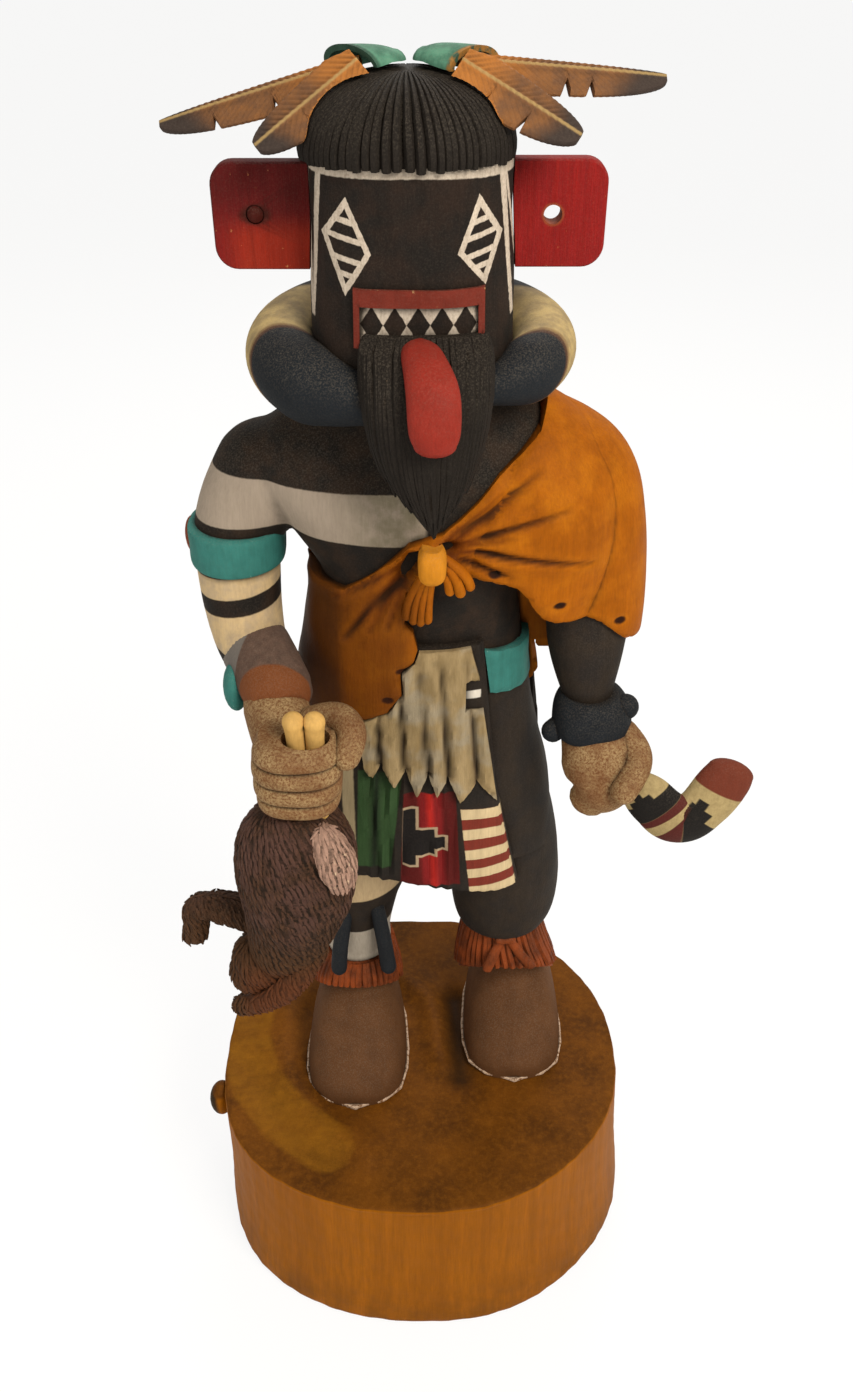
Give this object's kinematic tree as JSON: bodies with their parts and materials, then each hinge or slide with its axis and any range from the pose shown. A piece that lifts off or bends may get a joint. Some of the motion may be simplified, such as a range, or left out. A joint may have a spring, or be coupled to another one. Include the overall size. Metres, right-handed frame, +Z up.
{
  "type": "kachina doll",
  "caption": "Standing carved and painted wooden doll with a cylinder mask, ears, feathers, a shoulder cloth, a hanging rabbit and a bent stick, on a thick root-wood block.",
  "frame": {"origin": "on the flat underside of the block, near its middle, below the doll", "axes": "+Z up, -Y out of the doll's front, +X to its own left hand side"},
  "size_m": [0.1563, 0.1254, 0.3617],
  "materials": {
    "root_wood": "yellow-brown stained cottonwood root, satin",
    "painted_wood": "carved wood in matt earth colours: black, white, ochre, red, turquoise, green",
    "red_wood": "matt red paint over vertical grain",
    "green_wood": "matt blue-green paint",
    "feather_wood": "brown stained wood, cream shafts, dark tips",
    "rabbit_wood": "brown stained wood with carved fur strokes",
    "stick_wood": "cream wood with black and maroon bands"
  },
  "bodies": {
    "root": {"base": "root_wood", "figure": "painted_wood", "ear_right": "red_wood", "ear_left": "red_wood", "feather_tie_right": "green_wood", "feather_tie_left": "green_wood", "feather_right_upper": "feather_wood", "feather_right_lower": "feather_wood", "feather_left_upper": "feather_wood", "feather_left_lower": "feather_wood", "rabbit": "rabbit_wood", "throwing_stick": "stick_wood"}
  },
  "joints": []
}
